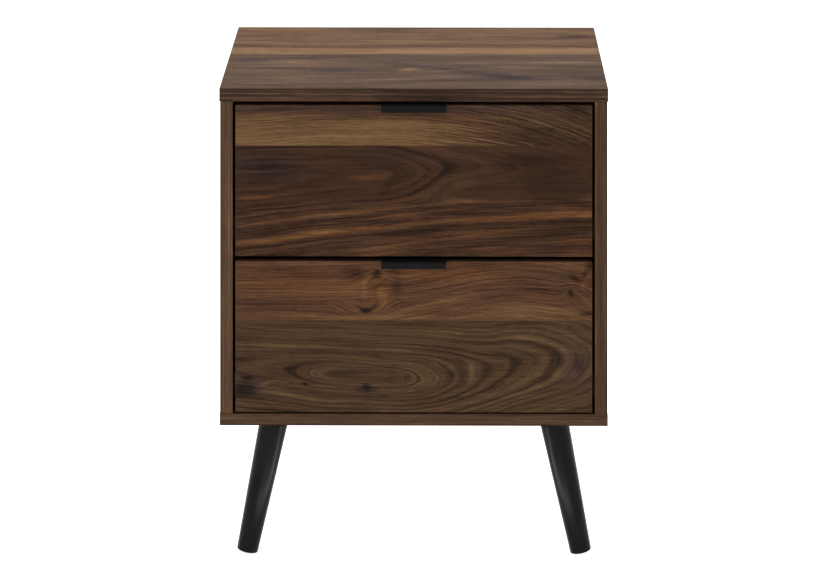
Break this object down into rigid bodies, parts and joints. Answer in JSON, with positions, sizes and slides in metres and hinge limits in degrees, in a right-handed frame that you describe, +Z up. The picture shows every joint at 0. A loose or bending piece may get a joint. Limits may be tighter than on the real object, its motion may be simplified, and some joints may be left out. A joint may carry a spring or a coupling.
{
  "type": "nightstand with drawers",
  "caption": "Walnut-look bedside cabinet on splayed round legs, with flush drawers on roller runners and folded black edge pulls.",
  "frame": {"origin": "on the floor, under the middle of the bounding box, which includes the pulls", "axes": "+Z up; +Y towards the back, so drawers open along -Y; +X to the right seen from the front"},
  "size_m": [0.45, 0.412, 0.551],
  "materials": {
    "walnut_laminate": "satin printed walnut grain",
    "printed_hardboard": "matt printed wood tone",
    "raw_hardboard": "raw smooth hardboard",
    "black_wood": "satin black lacquer",
    "black_metal": "matt black powder coat",
    "coated_steel": "satin dark brown epoxy coat",
    "zinc_steel": "zinc plated",
    "beech": "raw beech",
    "white_nylon": "white nylon"
  },
  "bodies": {
    "cabinet": {"top_panel": "walnut_laminate", "bottom_panel": "walnut_laminate", "left_side_panel": "walnut_laminate", "right_side_panel": "walnut_laminate", "back_panel": "raw_hardboard", "left_front_leg": "black_wood", "left_front_leg_plate": "coated_steel", "left_front_hanger_bolt": "zinc_steel", "left_front_dowel": "beech", "left_front_carcass_screw": "zinc_steel", "right_front_leg": "black_wood", "right_front_leg_plate": "coated_steel", "right_front_hanger_bolt": "zinc_steel", "right_front_dowel": "beech", "right_front_carcass_screw": "zinc_steel", "left_rear_leg": "black_wood", "left_rear_leg_plate": "coated_steel", "left_rear_hanger_bolt": "zinc_steel", "left_rear_dowel": "beech", "left_rear_carcass_screw": "zinc_steel", "right_rear_leg": "black_wood", "right_rear_leg_plate": "coated_steel", "right_rear_hanger_bolt": "zinc_steel", "right_rear_dowel": "beech", "right_rear_carcass_screw": "zinc_steel", "upper_left_cabinet_runner": "coated_steel", "upper_right_cabinet_runner": "coated_steel", "lower_left_cabinet_runner": "coated_steel", "lower_right_cabinet_runner": "coated_steel"},
    "upper_drawer": {"upper_drawer_front": "walnut_laminate", "upper_drawer_left_side": "walnut_laminate", "upper_drawer_right_side": "walnut_laminate", "upper_drawer_back": "walnut_laminate", "upper_drawer_bottom": "printed_hardboard", "upper_pull": "black_metal", "upper_pull_left_screw": "zinc_steel", "upper_pull_right_screw": "zinc_steel", "upper_left_drawer_runner": "coated_steel", "upper_right_drawer_runner": "coated_steel"},
    "lower_drawer": {"lower_drawer_front": "walnut_laminate", "lower_drawer_left_side": "walnut_laminate", "lower_drawer_right_side": "walnut_laminate", "lower_drawer_back": "walnut_laminate", "lower_drawer_bottom": "printed_hardboard", "lower_pull": "black_metal", "lower_pull_left_screw": "zinc_steel", "lower_pull_right_screw": "zinc_steel", "lower_left_drawer_runner": "coated_steel", "lower_right_drawer_runner": "coated_steel"},
    "upper_left_cabinet_roller": {"upper_left_cabinet_roller": "white_nylon"},
    "upper_left_drawer_roller": {"upper_left_drawer_roller": "white_nylon"},
    "upper_right_cabinet_roller": {"upper_right_cabinet_roller": "white_nylon"},
    "upper_right_drawer_roller": {"upper_right_drawer_roller": "white_nylon"},
    "lower_left_cabinet_roller": {"lower_left_cabinet_roller": "white_nylon"},
    "lower_left_drawer_roller": {"lower_left_drawer_roller": "white_nylon"},
    "lower_right_cabinet_roller": {"lower_right_cabinet_roller": "white_nylon"},
    "lower_right_drawer_roller": {"lower_right_drawer_roller": "white_nylon"}
  },
  "joints": [
    {"name": "upper_drawer_slide", "type": "slide", "parent": "cabinet", "child": "upper_drawer", "axis": [0, -1, 0], "range_m": [0, 0.26]},
    {"name": "lower_drawer_slide", "type": "slide", "parent": "cabinet", "child": "lower_drawer", "axis": [0, -1, 0], "range_m": [0, 0.26]},
    {"name": "upper_left_cabinet_roller_spin", "type": "hinge", "parent": "cabinet", "child": "upper_left_cabinet_roller", "pos_m": [-0.204, -0.164, 0.3916], "axis": [1, 0, 0], "continuous": true},
    {"name": "upper_left_drawer_roller_spin", "type": "hinge", "parent": "upper_drawer", "child": "upper_left_drawer_roller", "pos_m": [-0.2023, 0.156, 0.3824], "axis": [1, 0, 0], "continuous": true},
    {"name": "upper_right_cabinet_roller_spin", "type": "hinge", "parent": "cabinet", "child": "upper_right_cabinet_roller", "pos_m": [0.204, -0.164, 0.3916], "axis": [1, 0, 0], "continuous": true},
    {"name": "upper_right_drawer_roller_spin", "type": "hinge", "parent": "upper_drawer", "child": "upper_right_drawer_roller", "pos_m": [0.2023, 0.156, 0.3824], "axis": [1, 0, 0], "continuous": true},
    {"name": "lower_left_cabinet_roller_spin", "type": "hinge", "parent": "cabinet", "child": "lower_left_cabinet_roller", "pos_m": [-0.204, -0.164, 0.2113], "axis": [1, 0, 0], "continuous": true},
    {"name": "lower_left_drawer_roller_spin", "type": "hinge", "parent": "lower_drawer", "child": "lower_left_drawer_roller", "pos_m": [-0.2023, 0.156, 0.2021], "axis": [1, 0, 0], "continuous": true},
    {"name": "lower_right_cabinet_roller_spin", "type": "hinge", "parent": "cabinet", "child": "lower_right_cabinet_roller", "pos_m": [0.204, -0.164, 0.2113], "axis": [1, 0, 0], "continuous": true},
    {"name": "lower_right_drawer_roller_spin", "type": "hinge", "parent": "lower_drawer", "child": "lower_right_drawer_roller", "pos_m": [0.2023, 0.156, 0.2021], "axis": [1, 0, 0], "continuous": true}
  ],
  "couplings": [
    {"joint": "upper_left_cabinet_roller_spin", "follows": "upper_drawer_slide", "rad_per_m": 111.11},
    {"joint": "upper_left_drawer_roller_spin", "follows": "upper_drawer_slide", "rad_per_m": 111.11},
    {"joint": "upper_right_cabinet_roller_spin", "follows": "upper_drawer_slide", "rad_per_m": 111.11},
    {"joint": "upper_right_drawer_roller_spin", "follows": "upper_drawer_slide", "rad_per_m": 111.11},
    {"joint": "lower_left_cabinet_roller_spin", "follows": "lower_drawer_slide", "rad_per_m": 111.11},
    {"joint": "lower_left_drawer_roller_spin", "follows": "lower_drawer_slide", "rad_per_m": 111.11},
    {"joint": "lower_right_cabinet_roller_spin", "follows": "lower_drawer_slide", "rad_per_m": 111.11},
    {"joint": "lower_right_drawer_roller_spin", "follows": "lower_drawer_slide", "rad_per_m": 111.11}
  ]
}
